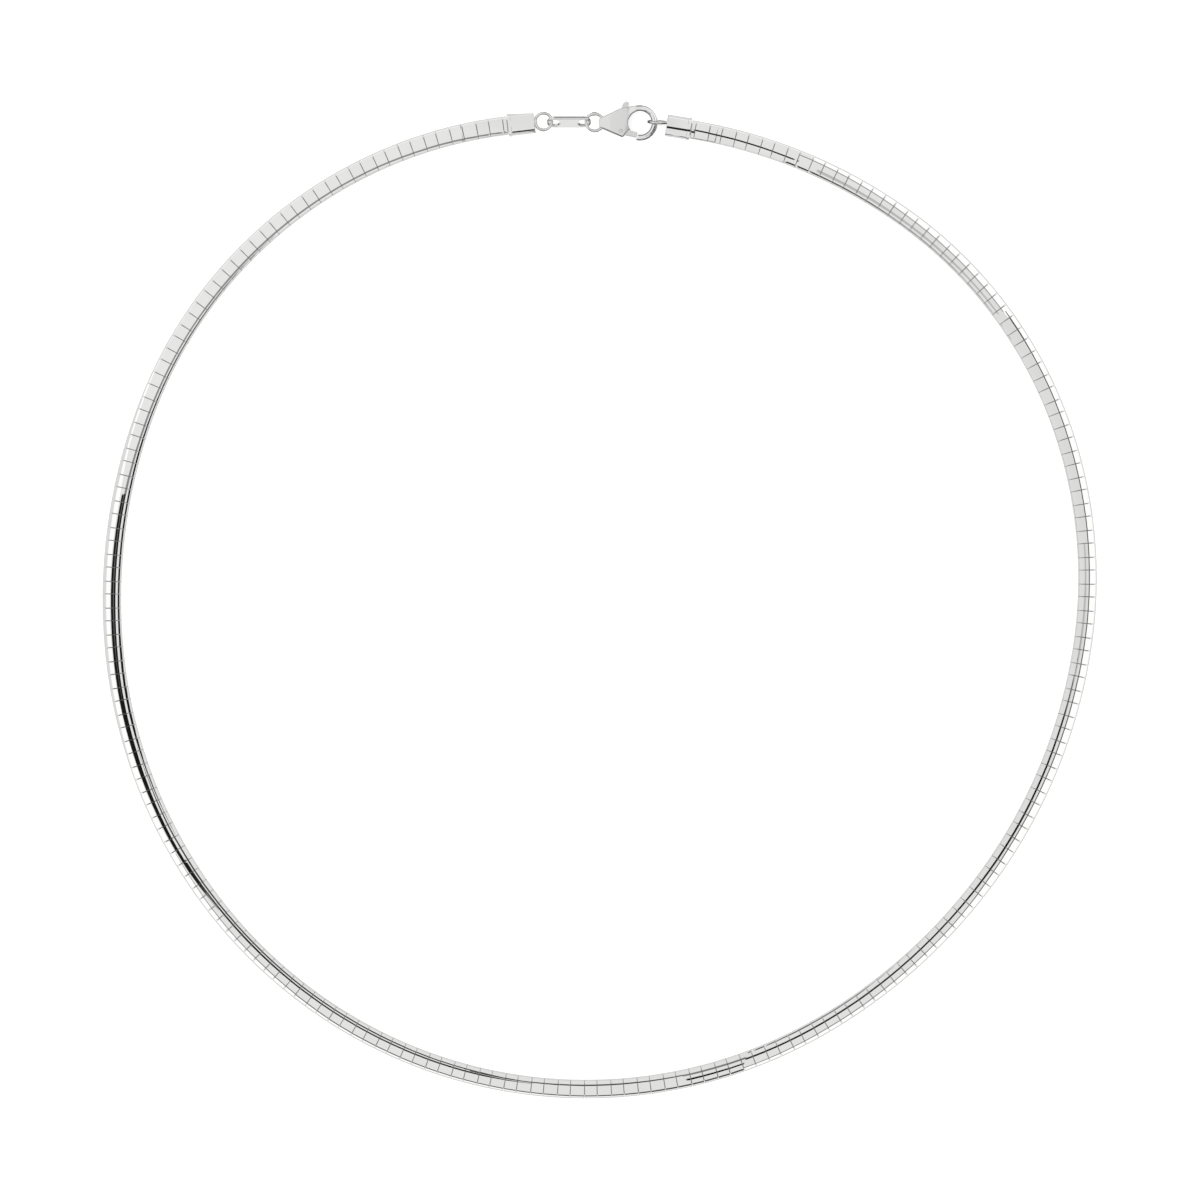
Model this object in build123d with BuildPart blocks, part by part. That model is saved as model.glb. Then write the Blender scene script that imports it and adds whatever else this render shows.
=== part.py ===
"""Omega necklace: a stiff round collar of small domed plates on a woven strip, closed by a lobster clasp.

Millimetres. The necklace lies on its back with +Z up, the clasp at +Y and the front of the collar at -Y.
The origin is on the surface that it lies on, under the middle of the whole necklace.
"""
import os
from math import cos, degrees, radians, sin, sqrt

from build123d import *

os.makedirs("parts", exist_ok=True)

# The collar's middle line: one bend after another, all of one length, each with its own radius.
# They start at the left end cap and run round the front to the right one.
band_start = (-13.88, 70.81)
band_start_heading = 186.7
band_length = 429.7
bend_radii = (65.6, 65.9, 80.9, 74.2, 70.9, 69.4, 70.4, 80.2, 78.0, 68.2, 64.1, 75.9)

# The collar leans outwards, as it does to lie on the base of the neck.
collar_tilt = 8.0

# Domed plates, folded round the woven strip, long and short ones in turn.
plate_width = 2.75
plate_crown = 1.25
plate_wall = 0.36
plate_rounding = 0.16
dome_radius = 2.4
lip_thickness = 0.30
lip_opening = 1.35
plate_count = 215
long_plate = 1.98
short_plate = 1.73
narrow_plate = 0.45

# Woven strip.
strip_width = 1.75
strip_thickness = 0.32
strip_back = 0.42
strip_in_cap = 2.2
strip_play = 0.12

# End caps, with the collar that grips the band and the ring soldered to the far end.
cap_width = 3.1
cap_back = -0.2
cap_crown = 1.85
cap_rounding = 0.28
cap_grip_length = 0.5
cap_grip_step = 0.08
left_cap_length = 4.0
right_cap_length = 3.65
corner_cut_along = 0.6
corner_cut_across = 0.36

# Round wire of the rings.
ring_wire = 0.42
end_ring_diameter = 2.92
right_ring_diameter = 3.12
right_ring_centre = (8.5, 71.32)
right_ring_turn = -3.0
right_ring_lean = 8.0
clasp_ring_diameter = 2.98
solder_overlap = 0.1
surface_clearance = 0.01

# Oval link.
link_centre = (-4.75, 71.37)
link_length = 6.5
link_height = 2.2
link_thickness = 0.5
link_lean = 55.0
link_rounding = 0.12
link_hole_length = 1.6
link_hole_height = 1.4
link_end_wall = 0.27

# Lobster clasp. Its plan is measured from the middle of the hook, +X away from the tail.
hook_centre = (5.84, 71.24)
hook_inner_radius = 1.79
hook_outer_radius = 2.63
hook_height = 0.85
hook_rounding = 0.4
hook_root_angle = 118.0
hook_tip_angle = -112.0
clasp_mid_height = 1.25
clasp_thickness = 2.1
tail_thickness = 1.5
shoulder_rounding = 0.3
cheek_rounding = 0.15
cheek_rise = 1.6
cheek_end = -1.93
hook_shaft_start = -0.45
tail_end = -6.04
tail_half_width = 0.62
upper_shoulder = (-2.93, 2.07)
hook_root = (-0.55, 2.57)
inside_hook = (-1.0, -0.9)
lower_lip = (-1.66, -1.08)
lower_shoulder = (-2.59, -2.10)
clasp_ring_centre = (-6.76, 0.08)
eye_play = 0.1

# Lever of the clasp, in a slot between the cheeks.
pivot = (-2.84, -1.24)
rivet_radius = 0.21
rivet_hole_radius = 0.24
lever_hole_radius = 0.28
slot_height = 0.9
lever_thickness = 0.7
lever_travel = 24.0
lever_play = 0.14
arm_angle = 79.0
arm_half_width = 0.34
hub_radius = 0.42
gate_angle = -12.3
gate_reach = 2.5
hook_tip_reach = 2.62
hook_tip_corner = (-0.6, -2.0)
hook_tip_cut = 1.5
nub_outline = ((-2.71, 2.41), (-2.47, 2.93), (-2.02, 3.22), (-1.62, 3.04), (-1.72, 2.47))
gate_top = ((-1.66, -1.08), (-0.30, -1.46))
slot_upper_corner = (-1.3, 3.3)
slot_upper_wall = (-1.6, 2.3)
slot_rim_top = (-1.97, 0.6)
slot_rim_foot = (-1.97, -0.35)
slot_gate_corner = (-1.0, -0.35)
slot_arm_length = 4.6
slot_gate_length = 1.9
arm_length = 3.4
rivet_recess = 0.02


# Heights and places that follow from the sizes above.
cap_corner = cap_width / 2 + cap_grip_step - cap_rounding
rest_height = (
    cap_rounding
    - (cap_back + cap_rounding) * cos(radians(collar_tilt))
    + cap_corner * sin(radians(collar_tilt))
)
bend_length = band_length / len(bend_radii)
plate_lengths = [narrow_plate]
for number in range(plate_count):
    plate_lengths.append(long_plate if number % 2 == 0 else short_plate)
plate_lengths.append(narrow_plate)
plate_gap = (band_length - sum(plate_lengths)) / (len(plate_lengths) + 1)


def heading_vector(angle):
    """Unit vector in the plan at an angle in degrees."""
    return Vector(cos(radians(angle)), sin(radians(angle)), 0)


with BuildLine() as band:
    bend = JernArc(
        start=band_start,
        tangent=heading_vector(band_start_heading),
        radius=bend_radii[0],
        arc_size=degrees(bend_length / bend_radii[0]),
    )
    for bend_radius in bend_radii[1:]:
        turn = degrees(bend_length / bend_radius)
        bend = JernArc(start=bend @ 1, tangent=bend % 1, radius=bend_radius, arc_size=turn)
band_line = band.wires()[0]


def across_band(distance):
    """Plane across the band, this far from its left end: X outwards and leaning down, Y up from the back."""
    point = band_line.position_at(distance / band_length)
    travel = band_line.tangent_at(distance / band_length)
    outward = Vector(travel.Y, -travel.X, 0)
    leaning = outward * cos(radians(collar_tilt)) - Vector(0, 0, sin(radians(collar_tilt)))
    return Plane(origin=(point.X, point.Y, rest_height), x_dir=leaning, z_dir=travel * -1)


def domed_section(width, back, crown, rounding):
    """Flat back, straight sides and a domed top with its crown over the middle."""
    half_width = width / 2
    shoulder = crown - dome_radius + sqrt(dome_radius**2 - half_width**2)
    with BuildSketch() as section:
        with BuildLine():
            Polyline((-half_width, shoulder), (-half_width, back), (half_width, back), (half_width, shoulder))
            ThreePointArc((half_width, shoulder), (0, crown), (-half_width, shoulder))
        make_face()
        fillet(section.vertices(), rounding)
    return section.sketch


# Section of one plate: a domed channel whose two lips hold the woven strip.
with BuildSketch() as plate_section:
    cavity_width = plate_width - 2 * plate_wall
    cavity_top = strip_back + strip_thickness + strip_play
    add(domed_section(plate_width, 0, plate_crown, plate_rounding))
    with Locations((0, (lip_thickness + cavity_top) / 2)):
        Rectangle(cavity_width, cavity_top - lip_thickness, mode=Mode.SUBTRACT)
    with Locations((0, lip_thickness / 2)):
        Rectangle(lip_opening, lip_thickness * 1.2, mode=Mode.SUBTRACT)


def plate(length):
    """One plate at the origin, as long as given along Z."""
    with BuildPart() as one_plate:
        with BuildSketch():
            add(plate_section.sketch)
        extrude(amount=length / 2, both=True)
    return one_plate.part.solid()


plate_kinds = {length: plate(length) for length in (narrow_plate, long_plate, short_plate)}
plates = []
travelled = plate_gap
for length in plate_lengths:
    plates.append(plate_kinds[length].moved(across_band(travelled + length / 2).location))
    travelled += length + plate_gap

# The two strings of plates meet at the front of the necklace.
front_plate = len(plates) // 2
plates_left = Compound(plates[:front_plate])
plates_right = Compound(plates[front_plate:])


# The woven strip runs through all the plates and a little way into each cap.
with BuildPart() as mesh_core:
    with BuildLine():
        before = band_line.position_at(0) - band_line.tangent_at(0) * strip_in_cap
        after = band_line.position_at(1) + band_line.tangent_at(1) * strip_in_cap
        Line(before, band_line.position_at(0))
        add(band_line)
        Line(band_line.position_at(1), after)
    with BuildSketch(across_band(0).offset(strip_in_cap)):
        with Locations((0, strip_back + strip_thickness / 2)):
            Rectangle(strip_width, strip_thickness)
    sweep()


def wire_ring(plane, diameter):
    """Ring of round wire, centred on a plane and lying in it."""
    with Locations(plane):
        Torus((diameter - ring_wire) / 2, ring_wire / 2)


def end_cap(place, toward, length):
    """Closed cap with a collar round the band's end and a pocket for the strip.

    place is the plane across the band's end, and toward is the way to the clasp along its normal.
    """
    grip_width = cap_width + 2 * cap_grip_step
    with BuildPart() as cap:
        with BuildSketch(place):
            add(domed_section(cap_width, cap_back, cap_crown, cap_rounding))
        extrude(amount=toward * length)
        with BuildSketch(place):
            add(domed_section(grip_width, cap_back, cap_crown + cap_grip_step, cap_rounding))
        extrude(amount=toward * cap_grip_length)
        with BuildSketch(place):
            with Locations((0, strip_back + strip_thickness / 2)):
                Rectangle(strip_width + 2 * strip_play, strip_thickness + 2 * strip_play)
        extrude(amount=toward * (strip_in_cap + strip_play), mode=Mode.SUBTRACT)
    return cap.part


left_end = across_band(0)
left_far_end = left_end.offset(left_cap_length)
left_ring_centre = left_end.offset(left_cap_length + end_ring_diameter / 2 - solder_overlap).origin

with BuildPart() as end_cap_left:
    add(end_cap(left_end, 1, left_cap_length))
    corner = left_far_end.origin + left_far_end.x_dir * (cap_width / 2)
    with BuildSketch(Plane(origin=corner, x_dir=left_end.z_dir, z_dir=left_end.y_dir)):
        with BuildLine():
            Polyline(
                (-corner_cut_along, 0), (0, -corner_cut_across), (corner_cut_along, -corner_cut_across),
                (corner_cut_along, corner_cut_along), (-corner_cut_along, corner_cut_along), close=True,
            )
        make_face()
    extrude(amount=2 * cap_crown, both=True, mode=Mode.SUBTRACT)
    wire_ring(Plane(origin=(left_ring_centre.X, left_ring_centre.Y, clasp_mid_height)), end_ring_diameter)

right_end = across_band(band_length)

with BuildPart() as end_cap_right:
    add(end_cap(right_end, -1, right_cap_length))
    right_ring_height = right_ring_diameter / 2 + surface_clearance
    upright = Plane(
        origin=(*right_ring_centre, right_ring_height), x_dir=heading_vector(right_ring_turn), z_dir=(0, 1, 0)
    )
    wire_ring(upright.rotated((right_ring_lean, 0, 0)), right_ring_diameter)


# Oval link: it stands on its long edge and leans back.
link_lean_rad = radians(link_lean)

with BuildPart() as tag_link:
    link_facing = (0, -sin(link_lean_rad), cos(link_lean_rad))
    link_plane = Plane(origin=(*link_centre, clasp_mid_height), x_dir=(1, 0, 0), z_dir=link_facing)
    hole_offset = (link_length - link_hole_length) / 2 - link_end_wall
    with BuildSketch(link_plane):
        SlotOverall(link_length, link_height)
        with Locations((-hole_offset, 0), (hole_offset, 0)):
            SlotOverall(link_hole_length, link_hole_height, mode=Mode.SUBTRACT)
    extrude(amount=link_thickness / 2, both=True)
    link_faces = tag_link.faces().group_by(Axis(link_plane.origin, link_plane.z_dir))
    fillet(link_faces[0].edges() + link_faces[-1].edges(), link_rounding)


clasp_plane = Plane(origin=(*hook_centre, clasp_mid_height))
clasp_ring_plane = clasp_plane.shift_origin(clasp_plane.from_local_coords(clasp_ring_centre))

with BuildPart() as clasp_ring:
    wire_ring(clasp_ring_plane, clasp_ring_diameter)


def from_pivot(angle, distance, aside=0.0):
    """Point at a distance from the pivot along an angle, and aside to the right of that line."""
    along = heading_vector(angle) * distance
    right = heading_vector(angle - 90) * aside
    return (pivot[0] + along.X + right.X, pivot[1] + along.Y + right.Y)


# Clasp body: two cheeks joined at the tail, with the fixed hook.
pivot_plane = clasp_plane.shift_origin(clasp_plane.from_local_coords(pivot))
clasp_side_plane = Plane(origin=clasp_plane.origin, x_dir=(1, 0, 0), z_dir=(0, -1, 0))

with BuildPart() as clasp_body:
    with BuildSketch(clasp_plane):
        with BuildLine():
            Polyline(
                (tail_end, -tail_half_width), (tail_end, tail_half_width), upper_shoulder, hook_root,
                (hook_root[0], 0), inside_hook, lower_lip, lower_shoulder, close=True,
            )
        make_face()
        Circle(hook_inner_radius, mode=Mode.SUBTRACT)
    extrude(amount=clasp_thickness / 2, both=True)
    fillet(clasp_body.edges().filter_by(Axis.Z).group_by(Axis.X)[0], shoulder_rounding)
    fillet(clasp_body.edges().filter_by(Axis.Z).sort_by(Axis.Y)[0], shoulder_rounding)
    # Seen from the side, the cheeks thin down towards the tail and towards the hook.
    with BuildSketch(clasp_side_plane):
        with BuildLine():
            Polyline(
                (tail_end, 0), (tail_end, tail_thickness / 2), (tail_end + cheek_rise, clasp_thickness / 2),
                (cheek_end, clasp_thickness / 2), (hook_shaft_start, hook_height / 2),
                (hook_inner_radius, hook_height / 2), (hook_inner_radius, 0), close=True,
            )
        make_face()
        mirror(about=Plane.XZ)
    extrude(amount=2 * hook_outer_radius, both=True, mode=Mode.INTERSECT)
    # Every edge round a cheek is softened, but not the lines across it where its thickness changes.
    outlines = clasp_body.edges().filter_by(
        lambda edge: abs(edge.center().Z - clasp_mid_height) > hook_height / 3
    )
    tail_edges = outlines.group_by(Axis.X)[0]
    fillet(outlines.filter_by(Axis.Y, reverse=True) + tail_edges, cheek_rounding)
    # The hook is a bow of rounded bar from the cheeks' upper corner round to the gate.
    across_hook = heading_vector(hook_tip_angle - 90)
    hook_start = Plane(origin=clasp_plane.origin, x_dir=heading_vector(hook_tip_angle), z_dir=across_hook)
    with BuildSketch(hook_start):
        with Locations(((hook_inner_radius + hook_outer_radius) / 2, 0)):
            RectangleRounded(hook_outer_radius - hook_inner_radius, hook_height, hook_rounding)
    revolve(axis=Axis(clasp_plane.origin, (0, 0, 1)), revolution_arc=hook_root_angle - hook_tip_angle)
    # Slot for the lever, open along the upper edge for the nub and at the lower corner for the gate.
    with BuildSketch(clasp_plane):
        with BuildLine():
            Polyline(
                from_pivot(arm_angle + lever_travel, 0, -hub_radius - lever_play),
                from_pivot(arm_angle + lever_travel, slot_arm_length, -hub_radius - lever_play),
                slot_upper_corner, slot_upper_wall, slot_rim_top, slot_rim_foot, slot_gate_corner,
                from_pivot(gate_angle, slot_gate_length, hub_radius + lever_play),
                from_pivot(gate_angle, 0, hub_radius + lever_play), close=True,
            )
        make_face()
        with Locations(pivot):
            Circle(hub_radius + lever_play)
    extrude(amount=slot_height / 2, both=True, mode=Mode.SUBTRACT)
    # The hook's tip is cut round the pivot, so that the gate closes past it.
    with BuildSketch(clasp_plane):
        with Locations(pivot):
            Circle(hook_tip_reach)
        with Locations(hook_tip_corner):
            Rectangle(hook_tip_cut, hook_tip_cut, mode=Mode.INTERSECT)
    extrude(amount=clasp_thickness, both=True, mode=Mode.SUBTRACT)
    with Locations(pivot_plane):
        Cylinder(rivet_hole_radius, 2 * clasp_thickness, mode=Mode.SUBTRACT)
    # The tail's eye follows the ring that hangs in it.
    with Locations(clasp_ring_plane):
        Torus((clasp_ring_diameter - ring_wire) / 2, ring_wire / 2 + eye_play, mode=Mode.SUBTRACT)


# Lever: gate, arm, nub and hub in one flat piece. The gate's end is cut round the pivot.
with BuildPart() as clasp_lever:
    with BuildSketch(clasp_plane):
        with BuildLine():
            Polyline(
                pivot, *gate_top, from_pivot(gate_angle, gate_reach + hub_radius, hub_radius),
                from_pivot(gate_angle, 0, hub_radius), close=True,
            )
        make_face()
        with Locations(pivot):
            Circle(gate_reach, mode=Mode.INTERSECT)
        with BuildLine():
            Polyline(
                from_pivot(arm_angle, 0, -arm_half_width), from_pivot(arm_angle, arm_length, -arm_half_width),
                *nub_outline, from_pivot(arm_angle, arm_length, arm_half_width),
                from_pivot(arm_angle, 0, arm_half_width), close=True,
            )
        make_face()
        with Locations(pivot):
            Circle(hub_radius)
            Circle(lever_hole_radius, mode=Mode.SUBTRACT)
    extrude(amount=lever_thickness / 2, both=True)

with BuildPart() as clasp_rivet:
    with Locations(pivot_plane):
        Cylinder(rivet_radius, clasp_thickness - 2 * rivet_recess)


print("gap between plates", round(plate_gap, 3))
pieces = {
    "plates_left": plates_left,
    "plates_right": plates_right,
    "mesh_core": mesh_core.part,
    "end_cap_left": end_cap_left.part,
    "end_cap_right": end_cap_right.part,
    "tag_link": tag_link.part,
    "clasp_ring": clasp_ring.part,
    "clasp_body": clasp_body.part,
    "clasp_lever": clasp_lever.part,
    "clasp_rivet": clasp_rivet.part,
}
for name, piece in pieces.items():
    piece.label = name
    export_step(piece, f"parts/{name}.step")
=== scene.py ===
"""Omega necklace: a polished silver collar of small domed plates on a woven strip, with a lobster clasp.

Everything is in metres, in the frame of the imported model: +Z up, the clasp at +Y, the front at -Y.
Sizes are written in millimetres, times mm.
"""
from math import asin, atan2, cos, exp, pi, radians, sin, sqrt, tan

import bmesh
import bpy
from mathutils import Matrix, Vector


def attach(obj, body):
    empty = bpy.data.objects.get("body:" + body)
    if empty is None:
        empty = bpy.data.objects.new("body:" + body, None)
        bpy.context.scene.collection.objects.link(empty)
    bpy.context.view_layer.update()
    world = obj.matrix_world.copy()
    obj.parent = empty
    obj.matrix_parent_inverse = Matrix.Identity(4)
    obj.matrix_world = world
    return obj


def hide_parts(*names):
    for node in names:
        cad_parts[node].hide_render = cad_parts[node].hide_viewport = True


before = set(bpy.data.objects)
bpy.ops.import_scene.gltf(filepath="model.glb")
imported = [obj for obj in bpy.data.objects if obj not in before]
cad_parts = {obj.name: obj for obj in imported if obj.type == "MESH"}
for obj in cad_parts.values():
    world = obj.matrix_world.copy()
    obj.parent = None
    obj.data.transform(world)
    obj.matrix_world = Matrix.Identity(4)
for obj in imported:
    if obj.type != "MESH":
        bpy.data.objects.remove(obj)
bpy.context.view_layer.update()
mm = 0.001


# Camera: straight above, with a long lens, so that the whole collar fills the square picture
# from side to side with a narrow margin.
picture_width = 179.09 * mm
picture_height_above_table = 1.2 * mm
aim = (-0.12 * mm, 0.04 * mm)
lens = 200.0
sensor = 36.0

camera_data = bpy.data.cameras.new("camera")
camera_data.lens = lens
camera_data.sensor_width = sensor
camera = bpy.data.objects.new("camera", camera_data)
camera.location = (*aim, picture_height_above_table + picture_width * lens / sensor)
bpy.context.scene.collection.objects.link(camera)
bpy.context.scene.camera = camera
bpy.context.scene.view_settings.view_transform = "Standard"


# Studio: a white tent round the table. Polished metal shows nothing but its surroundings, so the
# tent is white from low down to the roof, and dim only where it meets the table. Its stops give an
# angle off the zenith, in degrees, and the brightness there.
tent_white = 1.06
tent_horizon = 0.70
tent_stops = ((73, tent_white), (77, tent_horizon))


class Link:
    """One output in a node tree. Sums on it add Math nodes, and node() adds any other node."""

    def __init__(self, tree, socket=None):
        self.tree = tree
        self.socket = socket

    def node(self, kind, settings=None, inputs=None, out=0):
        """Adds a node, with its settings first and then its inputs, and gives one of its outputs."""
        made = self.tree.nodes.new(kind)
        for name, value in (settings or {}).items():
            if name == "stops":
                ramp = made.color_ramp
                while len(ramp.elements) < len(value):
                    ramp.elements.new(0.5)
                for stop, (place, shade) in zip(ramp.elements, value):
                    stop.position = place
                    stop.color = (shade, shade, shade, 1)
            else:
                setattr(made, name, value)
        for name, value in (inputs or {}).items():
            if isinstance(value, Link):
                self.tree.links.new(value.socket, made.inputs[name])
            else:
                made.inputs[name].default_value = value
        return Link(self.tree, made.outputs[out] if made.outputs else None)

    def maths(self, operation, *values):
        return self.node("ShaderNodeMath", {"operation": operation}, dict(enumerate(values)))

    def __add__(self, other):
        return self.maths("ADD", self, other)

    def __radd__(self, other):
        return self.maths("ADD", other, self)

    def __sub__(self, other):
        return self.maths("SUBTRACT", self, other)

    def __rsub__(self, other):
        return self.maths("SUBTRACT", other, self)

    def __mul__(self, other):
        return self.maths("MULTIPLY", self, other)

    def __truediv__(self, other):
        return self.maths("DIVIDE", self, other)

    def __lt__(self, other):
        return self.maths("LESS_THAN", self, other)

    def __gt__(self, other):
        return self.maths("GREATER_THAN", self, other)


world = bpy.data.worlds.new("white_tent")
world.use_nodes = True
world.node_tree.nodes.clear()
sky = Link(world.node_tree)
direction = sky.node("ShaderNodeTexCoord", out="Generated")
height_up = sky.node("ShaderNodeSeparateXYZ", inputs={0: direction}, out="Z")
off_zenith = height_up.maths("ARCCOSINE", height_up) * (180 / pi)
tent_shade = off_zenith.node(
    "ShaderNodeValToRGB",
    {"stops": [(angle / 180, shade) for angle, shade in tent_stops]},
    {"Fac": off_zenith / 180},
)
tent_light = tent_shade.node("ShaderNodeBackground", inputs={"Color": tent_shade})
tent_light.node("ShaderNodeOutputWorld", inputs={"Surface": tent_light})
bpy.context.scene.world = world


# Table: a matt white top, lit so evenly that it photographs as plain white.
table_half = 1.5
table_glow = 0.45
table_white = 0.93
table_roughness = 0.9

table_mesh = bpy.data.meshes.new("table")
table_mesh.from_pydata(
    [(x * table_half, y * table_half, 0) for x, y in ((-1, -1), (1, -1), (1, 1), (-1, 1))],
    [],
    [(0, 1, 2, 3)],
)
table = bpy.data.objects.new("table", table_mesh)
bpy.context.scene.collection.objects.link(table)
table_paint = bpy.data.materials.new("white_table")
table_paint.use_nodes = True
table_shader = table_paint.node_tree.nodes["Principled BSDF"]
table_shader.inputs["Base Color"].default_value = (table_white, table_white, table_white, 1)
table_shader.inputs["Roughness"].default_value = table_roughness
table_shader.inputs["Specular IOR Level"].default_value = 0.0
table_shader.inputs["Emission Color"].default_value = (1, 1, 1, 1)
table_shader.inputs["Emission Strength"].default_value = table_glow
table_mesh.materials.append(table_paint)


# The collar's middle line, which the plates and the woven strip follow: one bend after another,
# all of one length, each with its own radius, from the left cap round the front to the right cap.
band_start = (-13.88 * mm, 70.81 * mm)
band_start_heading = radians(186.7)
band_length = 429.7 * mm
bend_radii = (65.6, 65.9, 80.9, 74.2, 70.9, 69.4, 70.4, 80.2, 78.0, 68.2, 64.1, 75.9)
collar_lean = radians(8.0)
rest_height = 0.3887 * mm
bend_steps = 64

bend_length = band_length / len(bend_radii)
bend_ends = [(Vector(band_start), band_start_heading, 0)]
for bend_radius in bend_radii:
    point, heading, _ = bend_ends[-1]
    radius = bend_radius * mm
    turned = heading + bend_length / radius
    centre = point + radius * Vector((-sin(heading), cos(heading)))
    bend_ends.append((centre + radius * Vector((sin(turned), -cos(turned))), turned, radius))


def band_curve():
    """The middle line as a Bezier curve: each bend is one span, with the handles of a round arc."""
    curve = bpy.data.curves.new("band", "CURVE")
    curve.dimensions = "3D"
    curve.resolution_u = bend_steps
    spline = curve.splines.new("BEZIER")
    spline.bezier_points.add(len(bend_ends) - 1)
    for number, (knot, (point, heading, radius)) in enumerate(zip(spline.bezier_points, bend_ends)):
        along = Vector((cos(heading), sin(heading), 0))
        after = bend_ends[number + 1][2] if number + 1 < len(bend_ends) else radius
        before = radius or after
        knot.co = (point.x, point.y, rest_height)
        knot.handle_left = knot.co - along * (4 / 3 * tan(bend_length / before / 4) * before)
        knot.handle_right = knot.co + along * (4 / 3 * tan(bend_length / after / 4) * after)
    return bpy.data.objects.new("band", curve)


def across_band(point, heading):
    """The frame across the band: X outwards and leaning down, Y along the band, Z up from the back."""
    place = Matrix.Translation((point.x, point.y, rest_height))
    return place @ Matrix.Rotation(heading - pi / 2, 4, "Z") @ Matrix.Rotation(collar_lean, 4, "Y")


# Cards, which give the mirror-bright plates something to show: a large light grey roof, black and
# grey flags just under it that draw the dark lines along the collar, and low cards on the table
# and round the clasp, so that the steep edges of every piece show grey, not white.
card_height = 60 * mm
card_gap = 0.4 * mm
table_card_grey = 0.70
table_card_height = 0.05 * mm
middle = Vector((-0.69 * mm, 0.40 * mm))
card_layer = 0.01 * mm
flag_step = 1.25
collar_radius = 72.5 * mm
places_a_bend = 36
plate_width = 2.75 * mm
plate_crown = 1.25 * mm
plate_rounding = 0.16 * mm
dome_radius = 2.4 * mm

band_places = []
for (start, heading, _), (_, turned, radius) in zip(bend_ends, bend_ends[1:]):
    centre = start + radius * Vector((-sin(heading), cos(heading)))
    for step in range(places_a_bend):
        angle = heading + (turned - heading) * step / places_a_bend
        band_places.append((centre + radius * Vector((sin(angle), -cos(angle))), angle))
band_places.append(bend_ends[-1][:2])

view_tilt = atan2(collar_radius, camera.location.z)


def leaning(outwards, up):
    """A point of the plates' section, leaning with the collar, measured from its middle line."""
    return (
        outwards * cos(collar_lean) + up * sin(collar_lean),
        rest_height + up * cos(collar_lean) - outwards * sin(collar_lean),
    )


def seen_across(outwards, up):
    """How far out the camera sees a point of the section, square to the line of sight."""
    return outwards * cos(view_tilt) + up * sin(view_tilt)


def shown_at(inward, width=plate_width, crown=plate_crown, rounding=plate_rounding, height=card_height):
    """How far out on the cards a domed piece shows what is seen this far in from its outer edge."""
    middle_up = crown - dome_radius
    corner = width / 2 - rounding
    corner_up = middle_up + sqrt((dome_radius - rounding) ** 2 - corner ** 2)
    seen_edge = seen_across(*leaning(corner, corner_up)) + rounding
    seen_middle = seen_across(*leaning(0, middle_up))
    facing = asin((seen_edge - inward - seen_middle) / dome_radius) - view_tilt
    out, up = leaning(0, middle_up)
    out, up = out + dome_radius * sin(facing), up + dome_radius * cos(facing)
    return out + (height - up) * tan(2 * facing + view_tilt)


def bearing_of(point):
    """Bearing of a point of the band, from 0 at the right, clockwise."""
    away = point - middle
    return atan2(-away.y, away.x) * 180 / pi % 360


place_bearings = [bearing_of(point) for point, _ in band_places]


def nearest_place(bearing):
    """The number of the band's place whose bearing is nearest to this one, and how far it is past it."""
    aside = [(place - bearing + 180) % 360 - 180 for place in place_bearings]
    number = min(range(len(aside)), key=lambda place: abs(aside[place]))
    return number, radians(aside[number])


def card(name, radiance, faces, corners, tones=None):
    """A card that only polished metal sees: it is kept out of the camera's view and casts no shade.
    A card with tones has one at each corner, and its radiance runs smoothly between them."""
    paint = bpy.data.materials.new(name)
    paint.use_nodes = True
    paint.node_tree.nodes.clear()
    glow = Link(paint.node_tree)
    if tones:
        tone = glow.node("ShaderNodeAttribute", {"attribute_name": "tone"}, out="Color")
        glow = tone.node("ShaderNodeEmission", inputs={"Color": tone, "Strength": radiance})
    else:
        glow = glow.node("ShaderNodeEmission", inputs={"Color": (radiance, radiance, radiance, 1)})
    glow.node("ShaderNodeOutputMaterial", inputs={"Surface": glow})
    mesh = bpy.data.meshes.new(name)
    mesh.from_pydata(corners, [], faces)
    if tones:
        mesh.attributes.new("tone", "FLOAT", "POINT").data.foreach_set("value", tones)
    mesh.materials.append(paint)
    hung = bpy.data.objects.new(name, mesh)
    bpy.context.scene.collection.objects.link(hung)
    hung.visible_camera = False
    hung.visible_diffuse = False
    hung.visible_shadow = False
    hung.visible_transmission = False


def between(stops, bearing):
    """The values at a bearing, between the stops on either side of it."""
    for before, after in zip(stops, stops[1:]):
        if before[0] <= bearing <= after[0]:
            share = (bearing - before[0]) / (after[0] - before[0])
            share = share * share * (3 - 2 * share)
            return [a + (b - a) * share for a, b in zip(before[1:], after[1:])]
    return None


def flag(name, radiance, stops, level=1):
    """A flag along the band. Each stop has a bearing in degrees and how far in, in mm from the band's
    outer edge, the flag's outer and inner sides show there."""
    corners, faces = [], []
    first, last = stops[0][0], stops[-1][0]
    steps = max(2, round((last - first) / flag_step))
    for step in range(steps + 1):
        bearing = first + (last - first) * step / steps
        number, aside = nearest_place(bearing)
        point, heading = band_places[number]
        outward = Vector((sin(heading), -cos(heading)))
        along = Vector((cos(heading), sin(heading))) * (point - middle).length * aside
        for inward in between(stops, bearing):
            spot = point + along + outward * shown_at(inward * mm)
            corners.append((spot.x, spot.y, card_height - card_gap * level))
        if step:
            faces.append((2 * step - 2, 2 * step - 1, 2 * step + 1, 2 * step))
    card(name, radiance, faces, corners)


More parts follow.
